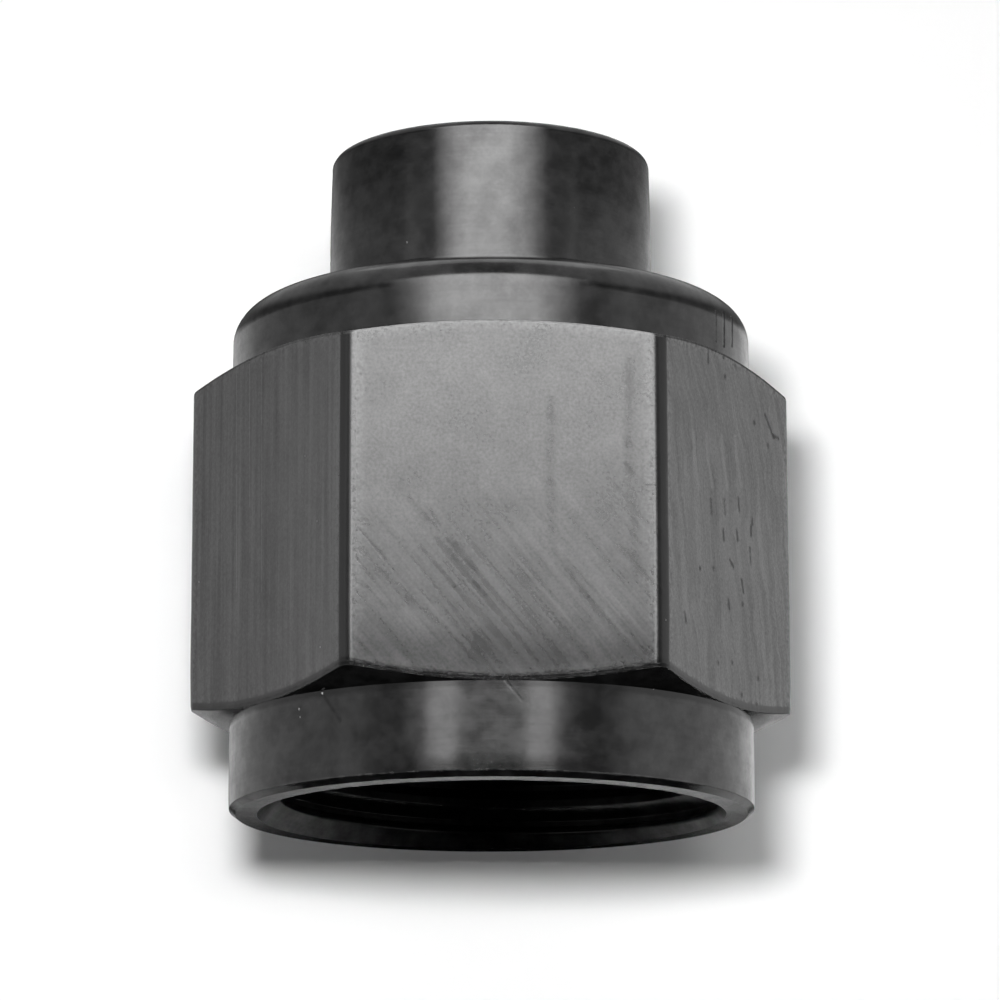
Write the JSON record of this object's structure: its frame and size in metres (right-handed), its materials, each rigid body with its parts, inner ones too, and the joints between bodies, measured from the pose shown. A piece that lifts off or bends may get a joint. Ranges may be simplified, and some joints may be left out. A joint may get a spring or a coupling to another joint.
{
  "type": "threaded protection cap",
  "caption": "Black anodised screw-on cap for a flared tube fitting: hexagon with round collars, solid knob on top, threaded blind bore open below.",
  "frame": {"origin": "centre of the flat rim at the open, threaded end, which the cap stands on", "axes": "+Z along the cap's axis from the open rim to the knob, +X through a corner of the hexagon, -Y out of a flat, the front one in the picture"},
  "size_m": [0.029, 0.0254, 0.0325],
  "materials": {
    "black_anodised": "black anodised over machined aluminium, semi-gloss, with fine tool marks"
  },
  "bodies": {
    "root": {"cap_body": "black_anodised"}
  },
  "joints": []
}
